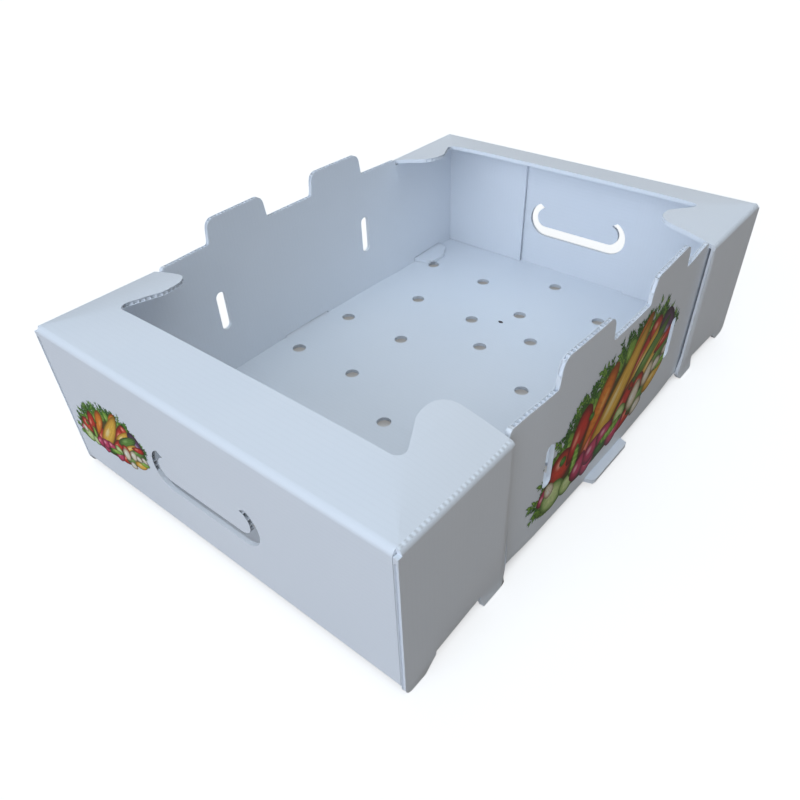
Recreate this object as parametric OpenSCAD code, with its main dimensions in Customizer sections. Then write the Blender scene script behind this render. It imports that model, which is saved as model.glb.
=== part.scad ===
// Stacking crate for fruit and vegetables, folded from one die-cut piece of
// fluted twin-wall plastic sheet. X runs along the length, Y across the width,
// Z up. The origin is on the floor under the middle of the crate.

/* [Sheet] */
// Thickness of the twin-wall sheet
sheet_t = 4; // [3.5:0.5:5]
// Thickness of each of the sheet's two skins
skin_t = 0.5; // [0.3:0.1:0.8]
// Thickness of the ribs that stand between the skins
rib_t = 0.5; // [0.3:0.1:0.8]
// Distance from one flute of the sheet to the next
flute_pitch = 4.5; // [4:0.25:6]
// Air between two layers that lie against each other
layer_gap = 0.3; // [0.2:0.1:0.6]

/* [Overall size] */
// Length over the end walls
outer_l = 588; // [560:1:620]
// Width over the side panels
outer_w = 400; // [370:1:430]
// Height of the ledge tops above the floor
ledge_z = 154; // [125:1:200]
// Height of the base's underside above the floor
base_lift = 6; // [4:0.5:8]

/* [Folds] */
// Inner radius of the sharp folds
fold_r = 0.5; // [0.4:0.1:0.8]
// Inner radius of the fold between an end wall and its ledge
ledge_fold_r = 2; // [1:0.5:4]
// Inner radius of the fold between the base and an end wall
end_fold_r = 1; // [0.5:0.5:2]

/* [Ledges and wings] */
// Depth of the ledges, from the end wall's face inwards
ledge_d = 56; // [45:1:65]
// Reach of the wings from the end wall's face, along their side fold
wing_l = 121; // [112:1:135]
// Width of the wings where they leave the ledge
wing_root_w = 40; // [34:1:48]
// Width of the wings near their free end
wing_tip_w = 61; // [54:1:68]
// Length over which the wings keep that width, from their free end
wing_tip_l = 27; // [22:1:34]
// Radius of the inside corner between a wing and the ledge
wing_root_r = 7; // [4:1:12]
// Radius of the wing's free corner and of the bend beside it
wing_tip_r = 16; // [10:1:20]

/* [Side panels] */
// Length of the corner foot under each end
corner_foot_l = 22; // [16:1:30]
// Length of the inner foot of each side panel
inner_foot_l = 34; // [24:1:44]
// Slant of the free edge, from the fold down to the floor
panel_slant = 5; // [0:1:10]
// Length of the slope from the corner foot up to the locking tongue
foot_slope_l = 14; // [8:1:18]
// Radius of the feet's free corners
foot_r = 8; // [4:0.5:9]

/* [Locking tongues] */
// Reach of the corner tongues over the base, from the long wall's inner face
lock_reach = 26; // [18:1:34]
// Radius of the corner tongues' free corners
lock_tip_r = 10; // [5:0.5:12]
// Cut left free at each side of a tongue
lock_cut = 1; // [0.6:0.1:2]
// Reach of the centre tongues past the long wall's outer face
centre_reach = 9.5; // [6:0.5:14]
// Width of the centre tongues
centre_w = 70; // [50:1:80]
// Height of the slit that is left above each centre tongue
centre_slit = 2.5; // [1.5:0.1:4]

/* [Long walls] */
// Height of the long walls' top edge above the ledge tops
wall_rise = 3; // [1:0.5:6]
// Distance between the middles of a wall's two stacking tabs
tab_spread = 144; // [130:1:160]
// Width of a stacking tab at its foot
tab_w = 79; // [60:1:90]
// Height of the stacking tabs above the wall's top edge
tab_h = 24; // [16:1:30]
// Inward slope of each side of a stacking tab
tab_slope = 3.5; // [1:0.5:6]
// Radius of the stacking tabs' upper corners
tab_r = 9; // [5:0.5:12]
// Distance between the middles of a wall's two upright slots
slot_spread = 223; // [190:1:250]
// Width of the upright slots
slot_w = 12; // [8:0.5:16]
// Height of the upright slots
slot_h = 44; // [30:1:60]
// Radius of the upright slots' corners
slot_r = 5.5; // [2:0.5:5.5]
// Height of the slots' middle above the base
slot_z = 73; // [60:1:90]
// Reach of the end flaps from the long wall's outer face
flap_l = 121; // [100:1:125]

/* [Handles] */
// Width of the handle slot from side to side
handle_w = 130; // [110:1:132]
// Height of the handle slot
handle_h = 43; // [36:1:50]
// Width of the slot along its lower run
handle_gap = 12.5; // [8:0.5:14]
// Width of the slot at the sides, beside the grip
handle_side_gap = 9.5; // [8:0.5:12]
// Height of the slot's lower edge above the base
handle_z = 43; // [35:1:60]
// Slope of the slot's upper ends, in degrees
handle_end_slope = 34; // [20:1:45]

/* [Vents] */
// Diameter of the ventilation holes in the base
vent_d = 15; // [8:0.5:20]
// Distance between neighbouring columns of holes, along the length
vent_step_x = 42; // [38:1:46]
// Distance between neighbouring rows of holes, across the width
vent_step_y = 41; // [36:1:43]

/* [Hidden] */
$fn = 48;
sheet_colour = "#dfe6ee";

// Faces of the layers, counted from the middle of the crate outwards
end_out = outer_l / 2;
end_in = end_out - sheet_t;
flap_out = end_in - layer_gap;
flap_in = flap_out - sheet_t;
panel_out = outer_w / 2;
panel_in = panel_out - sheet_t;
wall_out = panel_in - layer_gap;
wall_in = wall_out - sheet_t;
base_top = base_lift + sheet_t;
ledge_under = ledge_z - sheet_t;
ledge_inner_x = end_out - ledge_d;
tuck_z = ledge_under - layer_gap;

// Straight parts of the panels end where their folds begin
base_half_l = end_in - end_fold_r;
base_half_w = wall_in - fold_r;
wall_half_l = flap_in - fold_r;
end_half_w = panel_in - fold_r;
wall_foot_z = base_top + fold_r;
end_foot_z = base_top + end_fold_r;
end_head_z = ledge_under - ledge_fold_r;
panel_head_z = ledge_under - fold_r;
ledge_half_l = end_in - ledge_fold_r;
wing_end_x = end_out - wing_l;

// Locking tongues, in their slots at the foot of the long walls
lock_x0 = wing_end_x - panel_slant + inner_foot_l;
lock_x1 = end_out - corner_foot_l - foot_slope_l;
lock_z = base_top + layer_gap;
lock_top_z = lock_z + sheet_t;
panel_foot_z = lock_top_z + fold_r;
lock_tip_y = wall_in - lock_reach;

// Long walls
wall_z = ledge_z + wall_rise;
tab_z = wall_z + tab_h;
tab_x = tab_spread / 2;
slot_x = slot_spread / 2;
step_slope = 2;
step_x = wing_end_x - step_slope;

// Handle slots: a straight lower run that turns up into a hook at each side
hook_r = handle_h / 2;
hook_y = handle_w / 2 - hook_r;
handle_foot_z = base_top + handle_z;
hook_z = handle_foot_z + hook_r;
grip_r = hook_r - handle_side_gap;
grip_z = handle_foot_z + handle_gap + grip_r;
hook_steps = 36;

// Points round a circle of radius r
vent_steps = 18;
function ring(r, steps) = [for (i = [0:steps - 1]) let (t = 360 * (i + 0.5) / steps)
    r * [cos(t), sin(t)]];

// Flutes stop where the sheet is creased
crease_l = 5;
flute_w = flute_pitch - rib_t;
flute_d = sheet_t - 2 * skin_t;
edge_groove = 1.5;
past = 10;

// Points of a round corner of radius r at b, on the way from a to c
arc_steps = 4;
function unit(v) = v / norm(v);
function corner(a, b, c, r) =
    let (u = unit(a - b), v = unit(c - b),
         half = acos(max(-1, min(1, u * v))) / 2,
         mid = b + unit(u + v) * r / sin(half),
         s = b + u * r / tan(half) - mid,
         turn = (180 - 2 * half) * sign(v[0] * u[1] - v[1] * u[0]))
    [for (i = [0:arc_steps]) let (t = -turn * i / arc_steps)
        mid + [s[0] * cos(t) + s[1] * sin(t), s[1] * cos(t) - s[0] * sin(t)]];

// Outline through corners given as [x, y, radius]
function outline(pts) =
    let (n = len(pts), p = [for (q = pts) [q[0], q[1]]])
    [for (i = [0:n - 1])
        each (pts[i][2] > 0
            ? corner(p[(i + n - 1) % n], p[i], p[(i + 1) % n], pts[i][2])
            : [p[i]])];

// The same corners on both sides of the middle
function both_sides(pts) =
    concat(pts, [for (i = [len(pts) - 1:-1:0]) [-pts[i][0], pts[i][1], pts[i][2]]]);

// A flat drawing stood up along the length, from y0 outwards
module stand_xz(y0, t) translate([0, y0 + t, 0]) rotate([90, 0, 0]) linear_extrude(t) children();

// A flat drawing stood up across the width, from x0 outwards
module stand_yz(x0, t) translate([x0, 0, 0]) rotate([90, 0, 90]) linear_extrude(t) children();

module at_both_ends() for (m = [0, 1]) mirror([m, 0, 0]) children();
module at_both_sides() for (m = [0, 1]) mirror([0, m, 0]) children();
module at_four_corners() at_both_ends() at_both_sides() children();

// Quarter ring of a fold, of inner radius r, in the corner between two plates
module fold_section(r) {
    intersection() {
        difference() {
            circle(r + sheet_t);
            circle(r);
        }
        square(r + sheet_t);
    }
}

// Fold that runs along X: it turns from flat at height z to upright at y
module fold_along_x(x0, x1, y, z, r, up) {
    translate([x0, y - r, z - up * r]) rotate([90, 0, 90])
        linear_extrude(x1 - x0) scale([1, up]) fold_section(r);
}

// Fold that runs along Y: it turns from flat at height z to upright at x
module fold_along_y(x, half_w, z, r, up) {
    translate([x - r, half_w, z - up * r]) rotate([90, 0, 0])
        linear_extrude(2 * half_w) scale([1, up]) fold_section(r);
}

// Open flutes with upright cells, between x0 and x1
module upright_flutes(x0, x1, y0, z0, z1) {
    first = ceil((x0 + flute_pitch / 2) / flute_pitch);
    last = floor((x1 - flute_pitch / 2) / flute_pitch);
    for (i = [first:last])
        translate([i * flute_pitch - flute_w / 2, y0 + skin_t, z0])
            cube([flute_w, flute_d, z1 - z0]);
}

module vents() {
    for (column = [-5:2:5])
        for (row = abs(column) == 3 ? [-3, -1, 1, 3] : [-4, -2, 2, 4])
            vent(column, row);
    for (column = [-6, -4, -2, 2, 4, 6]) vent(column, 0);
}

module vent(column, row) {
    translate([column * vent_step_x, row * vent_step_y, base_lift - past])
        linear_extrude(sheet_t + 2 * past) polygon(ring(vent_d / 2, vent_steps));
}

// Flat bottom with its vents and the two centre tongues
module base() {
    difference() {
        union() {
            translate([-base_half_l, -base_half_w, base_lift])
                cube([2 * base_half_l, 2 * base_half_w, sheet_t]);
            at_both_sides() translate([0, 0, base_lift])
                linear_extrude(sheet_t) polygon(outline(both_sides([
                    [centre_w / 2, base_half_w - past, 0],
                    [centre_w / 2, wall_out, 0],
                    [centre_w / 2 - 3, wall_out + centre_reach, 4]])));
        }
        vents();
    }
}

module wall_outline() {
    polygon(outline(both_sides([
        [wall_half_l, wall_foot_z, 0],
        [wall_half_l, tuck_z, 0],
        [step_x, tuck_z, 0],
        [step_x - step_slope, wall_z, 3],
        [tab_x + tab_w / 2, wall_z, 3],
        [tab_x + tab_w / 2 - tab_slope, tab_z, tab_r],
        [tab_x - tab_w / 2 + tab_slope, tab_z, tab_r],
        [tab_x - tab_w / 2, wall_z, 3]])));
}

module wall_slot() {
    translate([slot_x, base_top + slot_z]) polygon(outline(both_sides([
        [slot_w / 2, -slot_h / 2, slot_r],
        [slot_w / 2, slot_h / 2, slot_r]])));
}

// Long wall with its fold to the base, two stacking tabs and two upright slots
module long_wall() {
    difference() {
        union() {
            stand_xz(wall_in, sheet_t) difference() {
                wall_outline();
                wall_slot();
                mirror([1, 0]) wall_slot();
            }
            fold_along_x(-wall_half_l, wall_half_l, wall_in, base_top, fold_r, -1);
        }
        upright_flutes(-step_x + 2 * step_slope, step_x - 2 * step_slope, wall_in,
            base_top + slot_z + slot_h / 2 + crease_l, tab_z + past);
        translate([-centre_w / 2 - lock_cut, base_half_w, base_lift - past])
            cube([centre_w + 2 * lock_cut, past, past + sheet_t + centre_slit]);
        at_both_ends() translate([lock_x0 - lock_cut, base_half_w - past / 2, base_top])
            cube([lock_x1 - lock_x0 + 2 * lock_cut, 2 * past, sheet_t + 4 * layer_gap]);
    }
}

// End flap, folded round the corner and tucked against the end wall
module end_flap() {
    foot = end_foot_z;
    stand_yz(flap_in, sheet_t)
        translate([wall_out - flap_l, foot]) square([flap_l - sheet_t - fold_r, tuck_z - foot]);
    translate([flap_in - fold_r, wall_in - fold_r, wall_foot_z])
        linear_extrude(tuck_z - wall_foot_z) fold_section(fold_r);
}

module handle_hook() {
    intersection() {
        translate([hook_y, hook_z]) difference() {
            polygon(ring(hook_r, hook_steps));
            translate([0, grip_z - hook_z]) polygon(ring(grip_r, hook_steps));
        }
        translate([hook_y, hook_z - past - hook_r]) polygon([
            [0, 0],
            [hook_r + past, 0],
            [hook_r + past, 2 * hook_r + past + (hook_r + past) * tan(handle_end_slope)
                - grip_r * tan(handle_end_slope)],
            [0, 2 * hook_r + past - grip_r * tan(handle_end_slope)]]);
    }
}

module handle_slot() {
    handle_hook();
    mirror([1, 0]) handle_hook();
    translate([-hook_y, handle_foot_z]) square([2 * hook_y, handle_gap]);
}

// End wall with its handle slot, and its folds to the base and to the ledge
module end_wall() {
    difference() {
        stand_yz(end_in, sheet_t) difference() {
            translate([-end_half_w, end_foot_z]) square([2 * end_half_w, end_head_z - end_foot_z]);
            handle_slot();
        }
        for (z = [handle_foot_z + handle_gap:flute_pitch:handle_foot_z + handle_h - flute_w])
            translate([end_in + skin_t, -end_half_w + crease_l, z])
                cube([flute_d, 2 * (end_half_w - crease_l), flute_w]);
    }
    fold_along_y(end_in, end_half_w, base_top, end_fold_r, -1);
    fold_along_y(end_in, end_half_w, ledge_under, ledge_fold_r, 1);
}

// Ledge with its two wings, lying flat over the end of the crate
module ledge() {
    wing_root_y = panel_out - wing_root_w;
    wing_tip_y = panel_out - wing_tip_w;
    difference() {
        translate([0, 0, ledge_under]) linear_extrude(sheet_t)
            polygon([for (q = outline([
                [end_half_w, ledge_half_l, 0],
                [end_half_w, wing_end_x, 0],
                [wing_tip_y, wing_end_x, wing_tip_r],
                [wing_tip_y, wing_end_x + wing_tip_l, wing_tip_r],
                [wing_root_y, ledge_inner_x, wing_root_r],
                [-wing_root_y, ledge_inner_x, wing_root_r],
                [-wing_tip_y, wing_end_x + wing_tip_l, wing_tip_r],
                [-wing_tip_y, wing_end_x, wing_tip_r],
                [-end_half_w, wing_end_x, 0],
                [-end_half_w, ledge_half_l, 0]])) [q[1], q[0]]]);
        for (i = [ceil((wing_end_x + skin_t) / flute_pitch):floor(ledge_inner_x / flute_pitch) - 1])
            translate([i * flute_pitch, -end_half_w + crease_l, ledge_under + skin_t])
                cube([flute_w, 2 * (end_half_w - crease_l), flute_d]);
    }
}

module panel_outline() {
    foot_x = wing_end_x - panel_slant;
    polygon(outline([
        [wing_end_x, panel_head_z, 0],
        [foot_x, 0, foot_r],
        [lock_x0 - lock_cut - 2, 0, 3],
        [lock_x0 - lock_cut, lock_z, 0],
        [lock_x0 - lock_cut, panel_foot_z, 0],
        [lock_x1 + lock_cut, panel_foot_z, 0],
        [lock_x1 + lock_cut, lock_z, 0],
        [end_out - corner_foot_l, 0, 3],
        [end_out, 0, foot_r],
        [end_out, panel_head_z, 0]]));
}

// Side panel, folded down outside the long wall, with its feet. Its upright end
// is cut along a flute, which leaves a groove between the skins.
module side_panel() {
    difference() {
        stand_xz(panel_in, sheet_t) panel_outline();
        translate([end_out - edge_groove, panel_in + skin_t, -past])
            cube([past, flute_d, past + panel_head_z - crease_l]);
    }
    fold_along_x(wing_end_x, end_in, panel_in, ledge_under, fold_r, 1);
}

// Locking tongue, folded in from the side panel through the long wall's foot
module locking_tongue() {
    mid_x = (lock_x0 + lock_x1) / 2;
    fold_along_x(lock_x0, lock_x1, panel_in, lock_top_z, fold_r, -1);
    translate([0, 0, lock_z]) linear_extrude(sheet_t) polygon(outline([
        [lock_x0, panel_in - fold_r, 0],
        [lock_x0, wall_in - 2 * lock_cut, 0],
        [lock_x0 + lock_tip_r, lock_tip_y, lock_tip_r],
        [mid_x + lock_tip_r / 2, lock_tip_y, lock_tip_r],
        [lock_x1, wall_in - lock_reach / 2, lock_tip_r / 2],
        [lock_x1, panel_in - fold_r, 0]]));
}

// The whole crate, one folded sheet
module folded_sheet() {
    color(sheet_colour) union() {
        base();
        at_both_sides() long_wall();
        at_four_corners() end_flap();
        at_both_ends() end_wall();
        at_both_ends() ledge();
        at_four_corners() side_panel();
        at_four_corners() locking_tongue();
    }
}

folded_sheet();
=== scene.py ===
# Looks of the corrugated plastic crate: a stacking crate folded from one printed sheet.
import math

import bpy
import numpy as np
from mathutils import Matrix, Vector


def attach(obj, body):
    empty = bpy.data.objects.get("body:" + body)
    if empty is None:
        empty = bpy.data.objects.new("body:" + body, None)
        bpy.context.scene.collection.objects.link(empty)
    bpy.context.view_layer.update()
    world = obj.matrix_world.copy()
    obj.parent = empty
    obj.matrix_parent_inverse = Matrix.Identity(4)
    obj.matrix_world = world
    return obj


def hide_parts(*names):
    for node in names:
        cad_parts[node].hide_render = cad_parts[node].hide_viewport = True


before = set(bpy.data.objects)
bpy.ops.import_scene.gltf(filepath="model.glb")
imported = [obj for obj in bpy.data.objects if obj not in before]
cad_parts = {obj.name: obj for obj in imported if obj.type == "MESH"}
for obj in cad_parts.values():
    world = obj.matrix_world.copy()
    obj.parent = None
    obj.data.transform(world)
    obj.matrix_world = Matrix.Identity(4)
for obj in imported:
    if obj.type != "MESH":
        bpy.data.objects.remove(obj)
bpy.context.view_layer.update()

MM = 0.001
TURN = 2 * math.pi

# The folded sheet's own sizes, in millimetres. The crate's halves mirror each other, so X and Y
# are taken without their sign.
FLUTE = 4.5
SHEET_T = 4.0
BASE_TOP = 10.0
END_OUT = 294.0
LEDGE_TOP = 154.0
LEDGE_FOLD_X = 290.0
SIDE_FOLD_Y = 198.0
WALL_IN, WALL_OUT = 191.7, 195.7
WALL_TOP = 157.0
TAB_TOP = 181.0
TAB_FROM, TAB_TO = 36.0, 108.0
TAB_R = 9.0
TAB_SLOPE = 3.5
WING_END_X = 173.0
WING_TIP_Y, WING_ROOT_Y = 139.0, 160.0
WING_TIP_R, WING_TIP_L, WING_BEND_L = 16.0, 27.0, 38.0
SLOT_X, SLOT_Z = 111.5, 83.0
SLOT_HALF_W, SLOT_HALF_H, SLOT_BEVEL = 6.2, 22.2, 3.2

# Where the source's open cells end, and how deep they are drawn here
CELL_FLOOR = 110.0
CELL_HALF_T = 1.5
WING_CELL_END_Y = 190.5
WING_CELLS_TO_X = 239.0
CELL_DEPTH = 2.4
WING_CELL_DEPTH = 0.8 * CELL_DEPTH

# The end flaps: their run along X, and their foot's height over the base, in the source and here
FLAP_FROM_X, FLAP_TO_X = 285.6, 289.8
FLAP_GAP_CUT, FLAP_GAP = 1.0, 0.3

# How the folded sheet relaxes. A long wall bulges out over its middle, and the base inside it
# follows from BOW_FROM_Y outwards.
BOW_HALF_L = 172.0
BOW_AT_FOOT, BOW_MORE_AT_TOP = 2.0, 1.5
BOW_FROM_Y, BOW_FADE_W = 130.0, 60.0
# A long wall is tucked in behind a side panel's free edge.
TUCK = 1.8
TUCK_FROM_X, TUCK_START_L = 120.0, 45.0
TUCK_TO_X, TUCK_END_L = 265.0, 70.0
# A ledge and a wing rise by so much for each millimetre from their folds.
LEDGE_RISE = 9.0 / 52.0
WING_RISE = 0.27
# A side panel's slanting free edge is pinched in, but for its foot and the centre tongue.
PANEL_FREE_H, PANEL_SLANT = 149.0, 5.0
PINCH, PINCH_L = 1.7, 3.0
PINCH_FROM_Z, PINCH_FADE_H = 9.0, 20.0
TONGUE_OUT_Y = 203.0
# Folds stay smooth below this angle, in degrees, and flat faces keep their own shading.
SMOOTH_BELOW = 28
FLAT_WEIGHT = 80

# The end walls are squeezed in by this much, to leave room for the print's ink
INK_ROOM = 0.3


def linear(code):
    """An sRGB hex colour as Blender's linear colour."""
    parts = [int(code[i:i + 2], 16) / 255 for i in (1, 3, 5)]
    return tuple(c / 12.92 if c <= 0.04045 else ((c + 0.055) / 1.055) ** 2.4
                 for c in parts) + (1.0,)


def node(tree, kind, settings=None, inputs=None, **named):
    """Adds a node with its settings. Its inputs, by number or by name, get a value or a link."""
    made = tree.nodes.new(kind)
    for name, value in (settings or {}).items():
        setattr(made, name, value)
    by_name = {name.replace("_", " "): value for name, value in named.items()}
    for key, value in {**(inputs or {}), **by_name}.items():
        if isinstance(value, bpy.types.NodeSocket):
            tree.links.new(value, made.inputs[key])
        else:
            made.inputs[key].default_value = value
    return made


def new_material(name):
    """A material with an empty node tree, and that tree."""
    made = bpy.data.materials.new(name)
    made.use_nodes = True
    made.node_tree.nodes.clear()
    return made, made.node_tree


def deselect():
    bpy.ops.object.select_all(action="DESELECT")


def select_only(obj):
    """Makes obj the one selected and active object."""
    deselect()
    bpy.context.view_layer.objects.active = obj
    obj.select_set(True)


def edit(obj, mode="VERT"):
    """Opens obj alone in edit mode, with nothing selected."""
    select_only(obj)
    bpy.ops.object.mode_set(mode="EDIT")
    bpy.ops.mesh.select_mode(type=mode)
    bpy.ops.mesh.select_all(action="DESELECT")


def done():
    """Leaves edit mode, with nothing selected."""
    bpy.ops.object.mode_set(mode="OBJECT")
    deselect()


def read_all(items, name, width=1, kind=np.float32):
    """One property of all of a mesh's vertices, faces or corners, with a row for each."""
    values = np.empty(len(items) * width, kind)
    items.foreach_get(name, values)
    return values.reshape(-1, width) if width > 1 else values


def positions(mesh):
    """The places of a mesh's vertices, in metres."""
    return read_all(mesh.vertices, "co", 3).astype(float)


def set_positions(mesh, co):
    mesh.vertices.foreach_set("co", np.asarray(co, np.float32).ravel())
    mesh.update()


def select_faces(obj, keep):
    """Selects the faces whose centre, in millimetres, passes keep(x, y, z)."""
    bpy.ops.object.mode_set(mode="OBJECT")
    x, y, z = read_all(obj.data.polygons, "center", 3).T / MM
    obj.data.polygons.foreach_set("select", keep(x, y, z).astype(bool))
    obj.data.update()
    bpy.ops.object.mode_set(mode="EDIT")


def smooth_step(t):
    t = np.clip(t, 0, 1)
    return t * t * (3 - 2 * t)


# The camera, as solved from the photo: its place in millimetres, its turn in degrees, its lens
CAMERA_PLACE = (-478.47, -369.50, 460.2)
CAMERA_AZIMUTH, CAMERA_ELEVATION, CAMERA_ROLL = -48.86, 40.89, -2.60
CAMERA_LENS, CAMERA_SENSOR = 31.53, 36
CAMERA_SHIFT = (-0.0040, 0.0429)


def look(azimuth, elevation, roll):
    """The camera's turn for a view from an azimuth and elevation, in degrees."""
    a, e, r = (math.radians(v) for v in (azimuth, elevation, roll))
    back = Vector((math.sin(a) * math.cos(e), -math.cos(a) * math.cos(e), math.sin(e)))
    right = Vector((math.cos(a), math.sin(a), 0))
    up = back.cross(right)
    rolled_right = right * math.cos(r) + up * math.sin(r)
    rolled_up = up * math.cos(r) - right * math.sin(r)
    return Matrix((rolled_right, rolled_up, back)).transposed()


camera = bpy.data.objects.new("camera", bpy.data.cameras.new("camera"))
bpy.context.scene.collection.objects.link(camera)
camera.matrix_world = (Matrix.Translation(Vector(CAMERA_PLACE) * MM)
                       @ look(CAMERA_AZIMUTH, CAMERA_ELEVATION, CAMERA_ROLL).to_4x4())
camera.data.lens = CAMERA_LENS
camera.data.sensor_width = CAMERA_SENSOR
camera.data.shift_x, camera.data.shift_y = CAMERA_SHIFT
camera.data.clip_start = 0.01
bpy.context.scene.camera = camera
bpy.context.scene.view_settings.view_transform = "Standard"

# The room: brightest and coolest up on the window's side, and plain white to the camera
ROOM_BRIGHT_SIDE = (-0.68, 0.04, 0.73)
ROOM_COOL_SIDE = (-0.60, 0.15, 0.80)
ROOM_DARK, ROOM_BRIGHT = 0.06, 0.66
ROOM_WARM_COLOUR, ROOM_COOL_COLOUR = linear("#f8e7ce"), linear("#dff0ff")

world = bpy.data.worlds.new("studio")
bpy.context.scene.world = world
world.use_nodes = True
tree = world.node_tree
tree.nodes.clear()
path = node(tree, "ShaderNodeLightPath")
seen = node(tree, "ShaderNodeMath", {"operation": "MAXIMUM"},
            {0: path.outputs["Is Camera Ray"], 1: path.outputs["Is Transmission Ray"]})
place = node(tree, "ShaderNodeTexCoord")
bright = node(tree, "ShaderNodeVectorMath", {"operation": "DOT_PRODUCT"},
              {0: place.outputs["Generated"], 1: ROOM_BRIGHT_SIDE})
level = node(tree, "ShaderNodeMapRange", Value=bright.outputs["Value"],
             From_Min=-0.1, From_Max=1.0, To_Min=ROOM_DARK, To_Max=ROOM_BRIGHT)
high = node(tree, "ShaderNodeVectorMath", {"operation": "DOT_PRODUCT"},
            {0: place.outputs["Generated"], 1: ROOM_COOL_SIDE})
cool = node(tree, "ShaderNodeMapRange", Value=high.outputs["Value"], From_Min=0.0, From_Max=0.7)
sky = node(tree, "ShaderNodeMix", {"data_type": "RGBA"},
           {0: cool.outputs[0], 6: ROOM_WARM_COLOUR, 7: ROOM_COOL_COLOUR})
room = node(tree, "ShaderNodeBackground", Strength=level.outputs[0], Color=sky.outputs[2])
backdrop = node(tree, "ShaderNodeBackground", Color=(1, 1, 1, 1), Strength=1.0)
mixed = node(tree, "ShaderNodeMixShader", None,
             {0: seen.outputs[0], 1: room.outputs[0], 2: backdrop.outputs[0]})
node(tree, "ShaderNodeOutputWorld", Surface=mixed.outputs[0])


def soft_sun(name, energy, colour, spread, direction):
    """A wide, soft light that comes from the given direction, spread over so many degrees."""
    lamp = bpy.data.objects.new(name, bpy.data.lights.new(name, "SUN"))
    lamp.data.energy = energy
    lamp.data.angle = math.radians(spread)
    lamp.data.color = colour
    towards = Vector(direction)
    turned = towards.to_track_quat("Z", "Y").to_matrix().to_4x4()
    lamp.matrix_world = Matrix.Translation(towards) @ turned
    bpy.context.scene.collection.objects.link(lamp)


# Each light: its strength, colour, spread and direction
soft_sun("window_light", 1.58, (0.80, 0.87, 1.0), 60, (-0.95, 0.0, 0.26))
soft_sun("ceiling_light", 0.78, (0.78, 0.90, 1.0), 70, (-0.08, -0.26, 0.97))
soft_sun("back_light", 0.72, (0.96, 0.93, 0.90), 80, (0.88, 0.36, 0.30))

# The floor: a white sheet of paper, in metres. Its glow is turned down under the crate, out to
# this half length and half width, as painted shade: what shows of it through the vents is greyer.
FLOOR_SIZE, FLOOR_DROP = 30, 0.0003
PAINTED_SHADE_HALF_SIZE = (0.290, 0.195, 1)
PAINTED_SHADE_GLOW, GLOW_ROUND = 0.24, 0.68


def matt_white_paper():
    """Paper, bleached and unglazed: matt white to the eye, duller in what it throws back, and with
    painted shade under the crate.
    """
    made, tree = new_material("matt_white_paper")
    path = node(tree, "ShaderNodeLightPath")
    grey = node(tree, "ShaderNodeBsdfDiffuse", Color=(0.32, 0.26, 0.21, 1))
    lit = node(tree, "ShaderNodeBsdfDiffuse", Color=(0.5, 0.5, 0.5, 1))
    place = node(tree, "ShaderNodeTexCoord")
    spot = node(tree, "ShaderNodeVectorMath", {"operation": "DIVIDE"},
                {0: place.outputs["Object"], 1: PAINTED_SHADE_HALF_SIZE})
    spot = node(tree, "ShaderNodeVectorMath", {"operation": "ABSOLUTE"}, {0: spot.outputs[0]})
    sides = node(tree, "ShaderNodeSeparateXYZ", None, {0: spot.outputs[0]})
    under = node(tree, "ShaderNodeMath", {"operation": "MAXIMUM"},
                 {0: sides.outputs[0], 1: sides.outputs[1]})
    # Painted shade: the glow is lower inside the crate's footprint, so that the floor there looks
    # shadowed
    strength = node(tree, "ShaderNodeMapRange", {"interpolation_type": "SMOOTHSTEP"},
                    Value=under.outputs[0], From_Min=0.94, From_Max=1.02,
                    To_Min=PAINTED_SHADE_GLOW, To_Max=GLOW_ROUND)
    glow = node(tree, "ShaderNodeEmission", Strength=strength.outputs[0], Color=(1, 1, 1, 1))
    white = node(tree, "ShaderNodeAddShader", None, {0: lit.outputs[0], 1: glow.outputs[0]})
    mixed = node(tree, "ShaderNodeMixShader", None,
                 {0: path.outputs["Is Camera Ray"], 1: grey.outputs[0], 2: white.outputs[0]})
    node(tree, "ShaderNodeOutputMaterial", Surface=mixed.outputs[0])
    return made


deselect()
bpy.ops.mesh.primitive_plane_add(size=FLOOR_SIZE, location=(0, 0, -FLOOR_DROP))
floor = bpy.context.object
floor.name = "floor"
floor.data.materials.append(matt_white_paper())

# The sheet's patterns, as so many to the metre: clouds of about 110 mm, where the sheet's skin is
# a little wavy, and the grain of about 1 mm that the extruder leaves
CLOUDS_PER_M = 9.0
GRAINS_PER_M = 900.0
RIB_SHADE = 0.99
TOOTH_DEPTH, GRAIN_DEPTH, WAVE_DEPTH = 0.00022, 0.0003, 0.004


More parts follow.
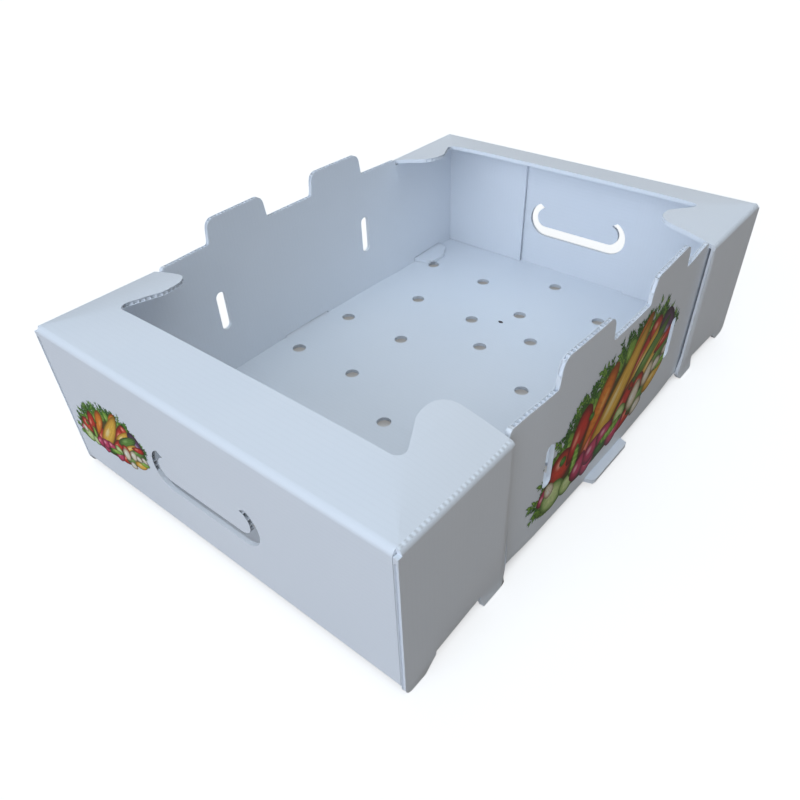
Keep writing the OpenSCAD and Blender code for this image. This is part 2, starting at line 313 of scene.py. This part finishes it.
def twin_wall():
    """Twin-wall polypropylene, extruded: white, semi-gloss, with its ribs faintly seen, a slow
    wave in its skin, and the teeth of the creasing rule along the side folds."""
    made, tree = new_material("polypropylene_twin_wall_extruded")
    uv = node(tree, "ShaderNodeUVMap", {"uv_map": "ribs"})
    across = node(tree, "ShaderNodeSeparateXYZ", None, {0: uv.outputs[0]})
    phase = node(tree, "ShaderNodeMath", {"operation": "MULTIPLY"},
                 {0: across.outputs[0], 1: TURN / (FLUTE * MM)})
    wave = node(tree, "ShaderNodeMath", {"operation": "COSINE"}, {0: phase.outputs[0]})
    rib = node(tree, "ShaderNodeMapRange", {"interpolation_type": "SMOOTHSTEP"},
               Value=wave.outputs[0], From_Min=0.2, From_Max=1.0)
    place = node(tree, "ShaderNodeTexCoord")
    cloud = node(tree, "ShaderNodeTexNoise", Vector=place.outputs["Object"],
                 Scale=CLOUDS_PER_M, Detail=3.0, Roughness=0.5)
    grain = node(tree, "ShaderNodeTexNoise", Vector=place.outputs["Object"],
                 Scale=GRAINS_PER_M, Detail=2.0, Roughness=0.6)
    tint = node(tree, "ShaderNodeMix", {"data_type": "RGBA"},
                {0: cloud.outputs[0], 6: linear("#e8edf4"), 7: linear("#eef1f6")})
    shade = node(tree, "ShaderNodeMapRange", Value=rib.outputs[0], To_Min=1.0, To_Max=RIB_SHADE)
    colour = node(tree, "ShaderNodeVectorMath", {"operation": "SCALE"},
                  {0: tint.outputs[2]}, Scale=shade.outputs[0])
    height = node(tree, "ShaderNodeMath", {"operation": "MULTIPLY_ADD"},
                  {0: rib.outputs[0], 1: 0.35, 2: grain.outputs[0]})
    fold = node(tree, "ShaderNodeAttribute", {"attribute_name": "side_fold"})
    teeth = node(tree, "ShaderNodeMath", {"operation": "MULTIPLY"},
                 {0: fold.outputs["Fac"], 1: wave.outputs[0]})
    notch = node(tree, "ShaderNodeBump", Height=teeth.outputs[0],
                 Strength=1.0, Distance=TOOTH_DEPTH)
    bump = node(tree, "ShaderNodeBump", Height=height.outputs[0], Normal=notch.outputs[0],
                Strength=0.06, Distance=GRAIN_DEPTH)
    slow = node(tree, "ShaderNodeBump", Height=cloud.outputs[0], Normal=bump.outputs[0],
                Strength=0.25, Distance=WAVE_DEPTH)
    rough = node(tree, "ShaderNodeMapRange", Value=cloud.outputs[0], To_Min=0.36, To_Max=0.46)
    skin = node(tree, "ShaderNodeBsdfPrincipled", Base_Color=colour.outputs[0],
                Roughness=rough.outputs[0], Normal=slow.outputs[0], IOR=1.49)
    node(tree, "ShaderNodeOutputMaterial", Surface=skin.outputs[0])
    return made


def bow(x, y, z):
    """How far a long wall bulges outwards, in millimetres, between its corner folds."""
    along = np.cos(np.clip(np.abs(x) / BOW_HALF_L, 0, 1) * math.pi / 2) ** 2
    up = BOW_AT_FOOT + BOW_MORE_AT_TOP * np.clip((z - BASE_TOP) / (WALL_TOP - BASE_TOP), 0, 1.3)
    near_wall = smooth_step((np.abs(y) - BOW_FROM_Y) / BOW_FADE_W)
    tucked = (smooth_step((np.abs(x) - TUCK_FROM_X) / TUCK_START_L)
              * smooth_step((TUCK_TO_X - np.abs(x)) / TUCK_END_L))
    return (along * up - TUCK * tucked) * near_wall


def spring(x, y):
    """How far a ledge or wing stands up from its folds, in millimetres."""
    from_end = np.maximum(LEDGE_FOLD_X - np.abs(x), 0) * LEDGE_RISE
    from_side = np.maximum(SIDE_FOLD_Y - SHEET_T / 2 - np.abs(y), 0) * WING_RISE
    return from_end * from_side / np.sqrt(from_end ** 2 + from_side ** 2 + 1e-9)


def is_ledge(x, z):
    """The ledges and wings, without the long walls and tabs beside them."""
    return (z > LEDGE_TOP - SHEET_T - 0.4) & (z < LEDGE_TOP + 0.3) & (np.abs(x) > WING_END_X - 1)


def top_edge(x):
    """Height of a long wall's top edge: the wall's own, or that of one of its two tabs."""
    inside = np.minimum(np.abs(x) - TAB_FROM, TAB_TO - np.abs(x))
    round_off = TAB_R - np.clip(inside, 0, TAB_R)
    over = TAB_TOP - TAB_R + np.sqrt(TAB_R ** 2 - round_off ** 2)
    beside = WALL_TOP + (TAB_TOP - WALL_TOP) * np.clip(1 + inside / TAB_SLOPE, 0, 1)
    return np.where(inside > 0, over, np.minimum(beside, TAB_TOP - TAB_R))


def wing_edge(x):
    """How far a wing's inner edge lies from the crate's middle line, at x along its length."""
    past = np.abs(x) - WING_END_X
    arc = WING_TIP_R - np.clip(past, 0, WING_TIP_R)
    tip = WING_TIP_R - np.sqrt(WING_TIP_R ** 2 - arc ** 2)
    slope = (WING_ROOT_Y - WING_TIP_Y) / WING_BEND_L
    return WING_TIP_Y + tip + np.maximum(past - WING_TIP_L, 0) * slope


def fill_cells(mesh):
    """Brings the ends of the open cells close behind the sheet's cut edges: light shines through
    the real sheet's thin skins there, so that its deep cells look as pale as shallow ones. The end
    flaps are let down onto the base as well."""
    co = positions(mesh)
    x, y, z = co.T / MM
    flap_foot = ((np.abs(z - BASE_TOP - FLAP_GAP_CUT) < 0.05) & (np.abs(y) < WALL_IN)
                 & (np.abs(x) > FLAP_FROM_X) & (np.abs(x) < FLAP_TO_X))
    co[flap_foot, 2] = (BASE_TOP + FLAP_GAP) * MM
    from_middle = np.abs(z - LEDGE_TOP + SHEET_T / 2)
    wing_cell = ((np.abs(from_middle - CELL_HALF_T) < 0.05) & (np.abs(x) < WING_CELLS_TO_X)
                 & (np.abs(np.abs(y) - WING_CELL_END_Y) < 0.1))
    cell_end = wing_edge(x[wing_cell]) + WING_CELL_DEPTH
    co[wing_cell, 1] = np.sign(y[wing_cell]) * cell_end * MM
    floor_of_cell = ((np.abs(z - CELL_FLOOR) < 0.1)
                     & (np.abs(np.abs(y) - (WALL_IN + WALL_OUT) / 2) < CELL_HALF_T + 0.2))
    middle = np.abs(np.round(x / FLUTE) * FLUTE)
    foot = np.minimum(np.abs(middle - TAB_FROM + TAB_SLOPE), np.abs(middle - TAB_TO - TAB_SLOPE))
    edge = np.where(foot < FLUTE / 2, WALL_TOP, top_edge(x))
    co[floor_of_cell, 2] = (edge[floor_of_cell] - CELL_DEPTH) * MM
    set_positions(mesh, co)


def both(values):
    """Each value on the crate's two halves."""
    return [side * value for side in (-1, 1) for value in values]


def make_crate():
    """A copy of the folded sheet, cut finely enough to bend where the sheet relaxes."""
    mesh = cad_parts["folded_sheet"].data.copy()
    mesh.materials.clear()
    crate = bpy.data.objects.new("crate_sheet", mesh)
    bpy.context.scene.collection.objects.link(crate)
    edit(crate)
    bpy.ops.mesh.select_all(action="SELECT")
    bpy.ops.mesh.remove_doubles(threshold=1e-6)
    done()
    fill_cells(mesh)
    edit(crate, "FACE")

    def cut(keep, axis, places):
        """Cuts the faces that pass keep, across an axis, at places in millimetres."""
        for place in places:
            select_faces(crate, keep)
            bpy.ops.mesh.bisect(plane_co=tuple(place * MM * a for a in axis), plane_no=axis)

    # The parts to cut. Each limit lies a little off the sheet's faces, so that a face's centre
    # is clearly on one side of it.
    def ledge(x, y, z):
        """The ledges with their wings."""
        return is_ledge(x, z)

    def wall(x, y, z):
        """The long walls between the wings, and the centre tongues."""
        return (np.abs(y) > 190) & (np.abs(y) < 206) & (np.abs(x) < WING_END_X + 1)

    def top_fold(x, y, z):
        """The folds between the ledges and the side panels."""
        return (np.abs(y) > 190) & (z > 140) & (np.abs(x) > WING_END_X - 1)

    def side_panel(x, y, z):
        """The side panels, without their folds."""
        return (np.abs(y) > 195.9) & (z < LEDGE_TOP - 1) & (np.abs(x) > 160)

    def wall_behind_panel(x, y, z):
        """The ends of the long walls, behind the side panels."""
        return (np.abs(y) > 188) & (np.abs(y) < 195.9) & (z < 151) & (np.abs(x) > 165)

    along, across, upright = (1, 0, 0), (0, 1, 0), (0, 0, 1)
    cut(top_fold, across, both([193.5]))
    cut(side_panel, upright, (147.5, 120, 90, 60, 30))
    cut(side_panel, along, sorted(both([WING_END_X + 2, WING_END_X + 5])))
    cut(wall_behind_panel, along, sorted(both([190, 210, 230])))
    cut(ledge, along, both(range(182, 290, 12)))
    cut(ledge, across, both([0.001, 30, 60, 90, 110, 124, 134, 144, 154, 164, 174, 184]))
    cut(wall, along, range(-165, 166, 15))
    done()
    return crate


def map_ribs(mesh):
    """Lays the rib pattern's UV map: across the ribs, then along them, in metres."""
    layer = mesh.uv_layers.new(name="ribs")
    face = np.repeat(np.arange(len(mesh.polygons)),
                     read_all(mesh.polygons, "loop_total", kind=np.int32))
    normal = np.abs(read_all(mesh.polygons, "normal", 3))[face]
    centre = np.abs(read_all(mesh.polygons, "center", 3))[face] / MM
    corner = positions(mesh)[read_all(mesh.loops, "vertex_index", kind=np.int32)]
    sideways = normal[:, 0] > 0.8
    flap = sideways & (centre[:, 0] < LEDGE_FOLD_X - 0.1)
    x, y, z = corner.T
    across = np.where(sideways, np.where(flap, y, z), x)
    along = np.where((normal[:, 2] > 0.5) | (sideways & ~flap), y, z)
    layer.data.foreach_set("uv", np.stack([across, along], 1).astype(np.float32).ravel())
    mesh.uv_layers.active = layer


def mark_side_folds(mesh):
    """An attribute that is 1 on the scored side folds, where the creasing rule leaves teeth."""
    x, y, z = np.abs(read_all(mesh.polygons, "center", 3).T) / MM
    on = ((z > LEDGE_TOP - 0.9) & (z < LEDGE_TOP - 0.02) & (y > 195.6)
          & (x > WING_END_X - 1) & (x < LEDGE_FOLD_X + 1))
    mark = mesh.attributes.new("side_fold", "FLOAT", "FACE")
    mark.data.foreach_set("value", on.astype(np.float32))


def relax(mesh):
    """Springs the ledges and wings up, bows the long walls and pinches the side panels' free
    edges in, as the folded sheet does."""
    co = positions(mesh)
    x, y, z = co.T / MM
    from_middle_x, from_middle_y = np.abs(x), np.abs(y)
    lift = np.where(is_ledge(x, z), spring(x, y), 0)
    tongue = (z > BASE_TOP - 5) & (z < BASE_TOP + 5)
    bowed = (from_middle_y < WALL_OUT + 0.15) | (from_middle_x < 160) | tongue
    below_ledge = (z > BASE_TOP - 5) & (z < LEDGE_TOP - SHEET_T - 0.2)
    bowed = bowed & (below_ledge | (from_middle_x < WING_END_X - 1))
    out = np.where(bowed, bow(x, y, z), 0)
    panel = (from_middle_y > SIDE_FOLD_Y + 1.9) & (z < LEDGE_TOP - 6)
    free_edge_x = WING_END_X - PANEL_SLANT * np.clip(1 - z / PANEL_FREE_H, 0, 1)
    pinch = (np.clip(1 - (from_middle_x - free_edge_x - 0.2) / PINCH_L, 0, 1) ** 2
             * np.clip((z - PINCH_FROM_Z) / PINCH_FADE_H, 0, 1))
    out = np.where(from_middle_y < TONGUE_OUT_Y, out - PINCH * panel * pinch, 0)
    co[:, 0] -= np.sign(x) * INK_ROOM * np.clip((from_middle_x - LEDGE_FOLD_X) / SHEET_T, 0, 1) * MM
    co[:, 1] += np.sign(y) * out * MM
    co[:, 2] += lift * MM
    set_positions(mesh, co)


crate = make_crate()
map_ribs(crate.data)
mark_side_folds(crate.data)
relax(crate.data)
select_only(crate)
bpy.ops.object.shade_smooth_by_angle(angle=math.radians(SMOOTH_BELOW))
weights = crate.modifiers.new("even_normals", "WEIGHTED_NORMAL")
weights.keep_sharp = True
weights.weight = FLAT_WEIGHT
bpy.ops.object.modifier_apply(modifier=weights.name)
crate.data.materials.append(twin_wall())
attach(crate, "root")
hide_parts("folded_sheet")

# The crumb of soil on the base, in metres, and its grain of about 1.4 mm
CRUMB_R = 0.0024
CRUMB_SHAPE = (0.75, 1.25, 0.30)
CRUMB_PLACE = (0.141, 0.0095, BASE_TOP * MM + 0.0004)
SOIL_GRAINS_PER_M = 700.0


def dried_soil():
    """Dried soil, crumbled: dull, dark and grainy."""
    made, tree = new_material("soil_dried_crumb")
    place = node(tree, "ShaderNodeTexCoord")
    grain = node(tree, "ShaderNodeTexNoise", Vector=place.outputs["Object"],
                 Scale=SOIL_GRAINS_PER_M, Detail=3.0, Roughness=0.6)
    tone = node(tree, "ShaderNodeMix", {"data_type": "RGBA"},
                {0: grain.outputs[0], 6: linear("#3d4350"), 7: linear("#6b5a52")})
    bump = node(tree, "ShaderNodeBump", Height=grain.outputs[0], Strength=0.5, Distance=0.0003)
    crumb = node(tree, "ShaderNodeBsdfPrincipled", Base_Color=tone.outputs[2],
                 Normal=bump.outputs[0], Roughness=0.85)
    node(tree, "ShaderNodeOutputMaterial", Surface=crumb.outputs[0])
    return made


deselect()
bpy.ops.mesh.primitive_ico_sphere_add(subdivisions=3, radius=CRUMB_R)
crumb = bpy.context.object
crumb.name = "soil_crumb"
co = positions(crumb.data)
# Lumps of about a millimetre
lumps = (1 + 0.22 * np.sin(co[:, 0] * 2600 + 1) * np.cos(co[:, 1] * 3100)
         + 0.12 * np.sin(co[:, 2] * 5200))
set_positions(crumb.data, co * lumps[:, None] * np.array(CRUMB_SHAPE) + np.array(CRUMB_PLACE))
bpy.ops.object.shade_smooth()
crumb.data.materials.append(dried_soil())
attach(crumb, "root")

# The print: the walls it goes on, the height of its lowest ink over the sheet and of each layer
# over the one below, and how the heap is moved and shrunk onto the end wall
LONG_WALL, END_WALL = "long_wall_print_", "end_wall_print_"
INK_LIFT = {LONG_WALL: (0.14, 0.02), END_WALL: (0.08, 0.015)}
END_PRINT_Y, END_PRINT_Z, HEAP_MIDDLE_Z = 128.0, 74.0, 90.0
END_PRINT_WIDE, END_PRINT_HIGH = 0.465, 0.52


def fine_pattern(tree, uv, pattern, count):
    """How strongly a motif's finer pattern shows: seeds, or lines that run across it (rings),
    along it (stripes) or slanting from its middle (veins)."""
    if pattern == "seeds":
        seeds = node(tree, "ShaderNodeTexVoronoi", Vector=uv.outputs[0], Scale=count)
        return seeds.outputs["Distance"]
    parts = node(tree, "ShaderNodeSeparateXYZ", None, {0: uv.outputs[0]})
    source = parts.outputs[0 if pattern == "rings" else 1]
    if pattern == "veins":
        away = node(tree, "ShaderNodeMath", {"operation": "SUBTRACT"},
                    {0: parts.outputs[1], 1: 0.5})
        away = node(tree, "ShaderNodeMath", {"operation": "ABSOLUTE"}, {0: away.outputs[0]})
        slant = node(tree, "ShaderNodeMath", {"operation": "SUBTRACT"},
                     {0: parts.outputs[0], 1: away.outputs[0]})
        source = slant.outputs[0]
    warp = node(tree, "ShaderNodeTexNoise", Vector=uv.outputs[0], Scale=6.0, Detail=2.0)
    bent = node(tree, "ShaderNodeMath", {"operation": "MULTIPLY_ADD"},
                {0: warp.outputs[0], 1: 0.12, 2: source})
    turns = node(tree, "ShaderNodeMath", {"operation": "MULTIPLY"},
                 {0: bent.outputs[0], 1: TURN * count})
    return node(tree, "ShaderNodeMath", {"operation": "SINE"}, {0: turns.outputs[0]}).outputs[0]


def ink(name, middle, edge, glow, shine=0.5, pattern=None, mark=None, count=10, depth=0.5,
        rim=0.5):
    """Screen-printing ink on plastic: a colour that turns darker towards the motif's edge, with
    a pale printed highlight, and a finer pattern in the colour mark."""
    made, tree = new_material("screen_printed_ink_" + name)
    uv = node(tree, "ShaderNodeUVMap", {"uv_map": "motif"})
    centred = node(tree, "ShaderNodeVectorMath", {"operation": "SUBTRACT"},
                   {0: uv.outputs[0], 1: (0.5, 0.5, 0)})
    radius = node(tree, "ShaderNodeVectorMath", {"operation": "LENGTH"}, {0: centred.outputs[0]})
    shade = node(tree, "ShaderNodeMapRange", {"interpolation_type": "SMOOTHSTEP"},
                 Value=radius.outputs["Value"], From_Min=0.18, From_Max=0.52)
    body = node(tree, "ShaderNodeMix", {"data_type": "RGBA"},
                {0: shade.outputs[0], 6: linear(middle), 7: linear(edge)})
    colour = body.outputs[2]
    if pattern:
        amount = node(tree, "ShaderNodeMapRange", Value=fine_pattern(tree, uv, pattern, count),
                      From_Min=0.2, From_Max=1.0, To_Max=depth)
        lined = node(tree, "ShaderNodeMix", {"data_type": "RGBA"},
                     {0: amount.outputs[0], 6: colour, 7: linear(mark)})
        colour = lined.outputs[2]
    spot = node(tree, "ShaderNodeVectorMath", {"operation": "DISTANCE"},
                {0: uv.outputs[0], 1: (0.42, 0.64, 0)})
    near = node(tree, "ShaderNodeMapRange", {"interpolation_type": "SMOOTHSTEP"},
                Value=spot.outputs["Value"], From_Min=0.04, From_Max=0.20,
                To_Min=shine, To_Max=0.0)
    lit = node(tree, "ShaderNodeMix", {"data_type": "RGBA"},
               {0: near.outputs[0], 6: colour, 7: linear(glow)})
    dots = node(tree, "ShaderNodeTexNoise", Vector=uv.outputs[0], Scale=14.0, Detail=3.0)
    uneven = node(tree, "ShaderNodeMapRange", Value=dots.outputs[0], To_Min=0.72, To_Max=1.28)
    gap = node(tree, "ShaderNodeMapRange", {"interpolation_type": "SMOOTHSTEP"},
               Value=radius.outputs["Value"], From_Min=0.36, From_Max=0.5,
               To_Min=1.0, To_Max=rim)
    tone = node(tree, "ShaderNodeMath", {"operation": "MULTIPLY"},
                {0: uneven.outputs[0], 1: gap.outputs[0]})
    final = node(tree, "ShaderNodeVectorMath", {"operation": "SCALE"},
                 {0: lit.outputs[2]}, Scale=tone.outputs[0])
    skin = node(tree, "ShaderNodeBsdfPrincipled", Base_Color=final.outputs[0],
                Roughness=0.42, IOR=1.49)
    node(tree, "ShaderNodeOutputMaterial", Surface=skin.outputs[0])
    return made


def motif(name, taper=0.0, bend=0.0, teeth=0.0, squash=1.0, sides=40, rings=3):
    """A flat printed motif of unit size: a disc drawn out, tapered, bent or given a toothed
    edge."""
    deselect()
    bpy.ops.mesh.primitive_circle_add(vertices=sides, radius=1, fill_type="NGON", calc_uvs=True)
    made = bpy.context.object
    made.name = name
    edit(made, "FACE")
    bpy.ops.mesh.select_all(action="SELECT")
    for _ in range(rings):
        bpy.ops.mesh.inset(thickness=1 / (rings + 1), depth=0)
    bpy.ops.mesh.poke()
    if teeth:
        bpy.ops.mesh.select_mode(type="VERT")
        done()
        for vertex in made.data.vertices:
            nth = round(math.atan2(vertex.co.y, vertex.co.x) / TURN * sides)
            vertex.select = vertex.co.length > 0.97 and nth % 2 == 0
        select_only(made)
        bpy.ops.object.mode_set(mode="EDIT")
        bpy.ops.transform.resize(value=(1 - teeth, 1 - teeth, 1))
    done()
    co = positions(made.data)
    x, y = co[:, 0], co[:, 1] * squash
    co[:, 1] = y * (1 + taper * x) + bend * (x * x - 0.4)
    set_positions(made.data, co)
    made.data.uv_layers[0].name = "motif"
    return made


def lay_on_sheet(mesh, where, layer):
    """Moves a motif drawn in the heap's own plane, in millimetres, onto its wall."""
    h, v = positions(mesh)[:, :2].T
    first, each = INK_LIFT[where]
    lift = first + each * layer
    if where == LONG_WALL:
        y = -(WALL_OUT + bow(h, -np.full_like(h, WALL_OUT), v) + lift)
        co = np.stack([h, y, v], 1)
    else:
        x = np.full_like(h, -(END_OUT - INK_ROOM + lift))
        z = END_PRINT_Z + END_PRINT_HIGH * (v - HEAP_MIDDLE_Z)
        co = np.stack([x, END_PRINT_Y - END_PRINT_WIDE * h, z], 1)
    set_positions(mesh, co * MM)


def cut_round_slots(piece):
    """Cuts the print away where it would span one of the wall's two upright slots."""
    planes = [((SLOT_HALF_W, 0), (1, 0)), ((-SLOT_HALF_W, 0), (1, 0)),
              ((0, SLOT_HALF_H), (0, 1)), ((0, -SLOT_HALF_H), (0, 1))]
    for sx in (-1, 1):
        for sz in (-1, 1):
            corner = (sx * (SLOT_HALF_W - SLOT_BEVEL), sz * SLOT_HALF_H)
            planes.append((corner, (sx, sz)))
    for middle in (-SLOT_X, SLOT_X):

        def around(x, y, z):
            return (np.abs(x - middle) < 40) & (np.abs(z - SLOT_Z) < 50)

        def inside(x, y, z):
            w, h = np.abs(x - middle), np.abs(z - SLOT_Z)
            return ((w < SLOT_HALF_W) & (h < SLOT_HALF_H)
                    & (w + h < SLOT_HALF_W - SLOT_BEVEL + SLOT_HALF_H))

        edit(piece, "FACE")
        for (px, pz), (nx, nz) in planes:
            select_faces(piece, around)
            bpy.ops.mesh.bisect(plane_co=((middle + px) * MM, 0, (SLOT_Z + pz) * MM),
                                plane_no=(nx, 0, nz))
        select_faces(piece, inside)
        bpy.ops.mesh.delete(type="FACE")
        done()


def print_heap(where, items):
    """Prints the heap: each item is a kind, its middle, its length and width, its turn and layer.
    The items of one layer are spread out up to the next, so that no two lie in one plane."""
    made = {}
    layers = [item[-1] for item in items]
    for nth, (kind, x, z, length, width, turn, layer) in enumerate(items):
        mesh = shapes[kind].data.copy()
        mesh.transform(Matrix.Translation((x, z, 0)) @ Matrix.Rotation(math.radians(turn), 4, "Z")
                       @ Matrix.Diagonal((length / 2, width / 2, 1, 1)))
        lay_on_sheet(mesh, where, layer + layers[:nth].count(layer) / layers.count(layer))
        made.setdefault(kind, []).append(mesh)
    for kind, meshes in made.items():
        deselect()
        parts = [bpy.data.objects.new("part", mesh) for mesh in meshes]
        for part in parts:
            bpy.context.scene.collection.objects.link(part)
            part.select_set(True)
        piece = parts[0]
        bpy.context.view_layer.objects.active = piece
        bpy.ops.object.join()
        piece.name = where + kind
        piece.data.materials.clear()
        piece.data.materials.append(inks[kind])
        if where == LONG_WALL:
            cut_round_slots(piece)
        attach(piece, "root")


# The outline of each kind of motif, and its ink
shapes = {
    "ground": motif("ground"),
    "lettuce": motif("lettuce", taper=-0.15, bend=0.12, teeth=0.16),
    "herb": motif("herb", taper=-0.35, bend=0.25, teeth=0.42),
    "stem": motif("stem", taper=-0.3, bend=0.35, sides=14, rings=1),
    "leaflet": motif("leaflet", taper=-0.4, bend=0.15, teeth=0.38, sides=18, rings=1),
    "young_leaf": motif("young_leaf", taper=-0.3, bend=0.2, teeth=0.25, sides=18, rings=1),
    "carrot": motif("carrot", taper=-0.55, bend=0.06),
    "squash": motif("squash", taper=-0.25, bend=0.10),
    "tomato": motif("tomato"),
    "calyx": motif("calyx", teeth=0.55),
    "pepper": motif("pepper", taper=0.30, bend=0.18),
    "cucumber": motif("cucumber", taper=-0.08, bend=0.10),
    "slice": motif("slice"),
    "eggplant": motif("eggplant", taper=0.38, bend=0.05),
    "radish": motif("radish", taper=-0.45),
    "onion": motif("onion", taper=-0.12),
    "mushroom": motif("mushroom", bend=-0.25, squash=0.9),
    "pea_pod": motif("pea_pod", bend=0.35),
}
inks = {
    "ground": ink("shade", "#46561f", "#38451c", "#4d6a2a", shine=0.2,
                  pattern="seeds", mark="#6b3a1e", count=9, depth=0.7, rim=0.9),
    "lettuce": ink("lettuce", "#7ba635", "#355f1e", "#c5e07a",
                   pattern="veins", mark="#a9cf62", count=9),
    "herb": ink("herb", "#2f6a1f", "#17400f", "#7fb552", shine=0.3,
                pattern="veins", mark="#559236", count=9, depth=0.6),
    "stem": ink("stem", "#4f8a2e", "#2c5a1b", "#9cc768", shine=0.3),
    "leaflet": ink("leaflet", "#3d7d24", "#1c4a12", "#8fc25c", shine=0.4, rim=0.6),
    "young_leaf": ink("young_leaf", "#7fae3c", "#3f7424", "#cfe68c", rim=0.6),
    "carrot": ink("carrot", "#ee8a22", "#b9560f", "#ffc672", shine=0.55,
                  pattern="rings", mark="#c96512", count=13),
    "squash": ink("squash", "#f0c04c", "#c58b22", "#fdeab0", shine=0.7,
                  pattern="stripes", mark="#d99a28", count=5),
    "tomato": ink("tomato", "#d8412b", "#8e1c14", "#ffb8a0", shine=0.8),
    "calyx": ink("calyx", "#4c8a2c", "#2c5c1a", "#86b85a", shine=0.4),
    "pepper": ink("pepper", "#cf3023", "#84150f", "#ff9f86", shine=0.8),
    "cucumber": ink("cucumber", "#5b8a35", "#2b5220", "#a8cc7a",
                    pattern="stripes", mark="#7fa852", count=6),
    "slice": ink("slice", "#d9e6a4", "#5f8f38", "#eef5cc", shine=0.4,
                 pattern="seeds", mark="#a5c46a", count=8, depth=0.6),
    "eggplant": ink("eggplant", "#643f66", "#392040", "#bda3c0", shine=0.7),
    "radish": ink("radish", "#cf3f68", "#8c1f45", "#ffc0cf", shine=0.7),
    "onion": ink("onion", "#f2ead6", "#c3ab84", "#ffffff", shine=0.6,
                 pattern="stripes", mark="#d9c6a2", count=6, depth=0.6),
    "mushroom": ink("mushroom", "#ece3d2", "#a8957a", "#ffffff"),
    "pea_pod": ink("pea_pod", "#86b83e", "#4b7f22", "#cbe58c",
                   pattern="rings", mark="#b4d76a", count=6, depth=0.6),
}

# The heap's upper edge, from its left end over the top to its right end, in millimetres
HEAP_EDGE = [(-124, 34), (-117, 60), (-101, 84), (-80, 102), (-54, 114), (-30, 126),
             (0, 135), (30, 140), (60, 137), (84, 126), (104, 108), (114, 86)]
LETTUCES, SPRIGS = 15, 76


def along_edge(share):
    """The heap edge's point and outward direction, in degrees, at a share of its way."""
    at = share * (len(HEAP_EDGE) - 1)
    i = min(int(at), len(HEAP_EDGE) - 2)
    a, b = Vector(HEAP_EDGE[i]), Vector(HEAP_EDGE[i + 1])
    way = b - a
    return a + way * (at - i), math.degrees(math.atan2(way.x, -way.y))


def greens():
    """Lettuce, and sprigs of herb with their leaflets, that stand out from the heap's edge."""
    draw = np.random.default_rng(7)
    items = []
    for i in range(LETTUCES):
        middle, out = along_edge((i + 0.5) / LETTUCES)
        turn = math.radians(out)
        back = draw.uniform(9, 16)
        size = draw.uniform(26, 38)
        items.append(("lettuce", middle.x - back * math.cos(turn),
                      middle.y - back * math.sin(turn), size, size * 0.75,
                      out + draw.uniform(-60, 60), 1 + i % 2))
    for _ in range(SPRIGS):
        middle, out = along_edge(draw.uniform(0, 1))
        turn = math.radians(out + draw.uniform(-48, 48))
        reach = draw.uniform(-2, 12)
        length = draw.uniform(14, 26)
        way = Vector((math.cos(turn), math.sin(turn)))
        tip = middle + way * reach
        root = tip - way * length
        half_way = (tip + root) / 2
        items.append(("stem", half_way.x, half_way.y, length, 1.8, math.degrees(turn), 3))
        kind = "leaflet" if draw.uniform() < 0.65 else "young_leaf"
        for along in (1.0, 0.72, 0.45):
            for side in (-1, 1):
                at = root.lerp(tip, along)
                lean = turn + side * draw.uniform(0.3, 0.9)
                size = draw.uniform(6, 10)
                items.append((kind, at.x + size * 0.4 * math.cos(lean),
                              at.y + size * 0.4 * math.sin(lean), size, size * 0.42,
                              math.degrees(lean), 4))
    return items


# Each item: its kind, its middle along the wall and over the floor, its length and width, all in
# millimetres, its turn in degrees, and its layer
heap = [("ground", 0, 76, 226, 88, 12, 0)] + greens() + [
    ("herb", -106, 62, 34, 18, 160, 4), ("herb", -60, 104, 34, 16, 128, 4),
    ("herb", 62, 124, 32, 16, 64, 4), ("herb", 100, 98, 30, 16, 30, 4),
    ("tomato", -90, 66, 38, 35, 0, 5), ("pepper", -66, 84, 56, 25, 62, 5),
    ("calyx", -88, 71, 13, 12, 20, 6), ("pepper", -44, 62, 70, 25, 58, 6),
    ("pepper", 40, 102, 74, 24, 44, 6),
    ("carrot", -36, 92, 84, 21, 238, 7), ("carrot", 22, 122, 66, 15, 226, 7),
    ("squash", 0, 90, 140, 29, 48, 9), ("squash", 46, 98, 78, 18, 38, 8),
    ("carrot", 30, 74, 72, 17, 216, 9), ("pepper", 14, 66, 56, 20, 38, 10),
    ("cucumber", 60, 96, 84, 20, 30, 10), ("squash", 66, 84, 60, 15, 34, 10),
    ("cucumber", 84, 82, 66, 17, 26, 11),
    ("eggplant", 92, 108, 46, 32, 150, 8), ("tomato", 62, 120, 27, 25, 0, 7),
    ("tomato", 44, 70, 26, 24, 0, 10), ("pepper", 92, 94, 44, 13, 16, 11),
    ("radish", -36, 48, 32, 22, 40, 10), ("radish", -14, 52, 30, 21, 20, 11),
    ("radish", -58, 44, 30, 20, 60, 10), ("slice", -99, 40, 36, 31, 0, 8),
    ("slice", -76, 36, 24, 21, 0, 9), ("slice", 12, 56, 24, 20, 0, 11),
    ("onion", 40, 60, 32, 23, 60, 12), ("onion", 66, 69, 27, 19, 50, 12),
    ("mushroom", 84, 70, 22, 15, 10, 13), ("mushroom", 104, 76, 20, 14, 350, 13),
    ("pea_pod", -2, 46, 42, 11, 12, 13), ("pea_pod", 98, 66, 36, 10, 8, 12),
    ("calyx", -48, 92, 11, 10, 0, 12), ("lettuce", -104, 32, 28, 16, 185, 4),
    ("pea_pod", -68, 58, 34, 10, 80, 9), ("herb", -18, 38, 28, 13, 8, 12),
    ("radish", -114, 50, 20, 15, 70, 5), ("onion", -106, 52, 18, 14, 120, 9),
    ("radish", 8, 40, 34, 21, 22, 10), ("pepper", 30, 44, 52, 20, 24, 9),
    ("cucumber", 58, 52, 58, 18, 20, 9), ("mushroom", 52, 40, 24, 17, 16, 10),
    ("squash", 84, 56, 46, 16, 18, 9), ("radish", -40, 34, 26, 17, 16, 9),
]

print_heap(LONG_WALL, heap)
print_heap(END_WALL, heap)
for shape in shapes.values():
    bpy.data.objects.remove(shape)
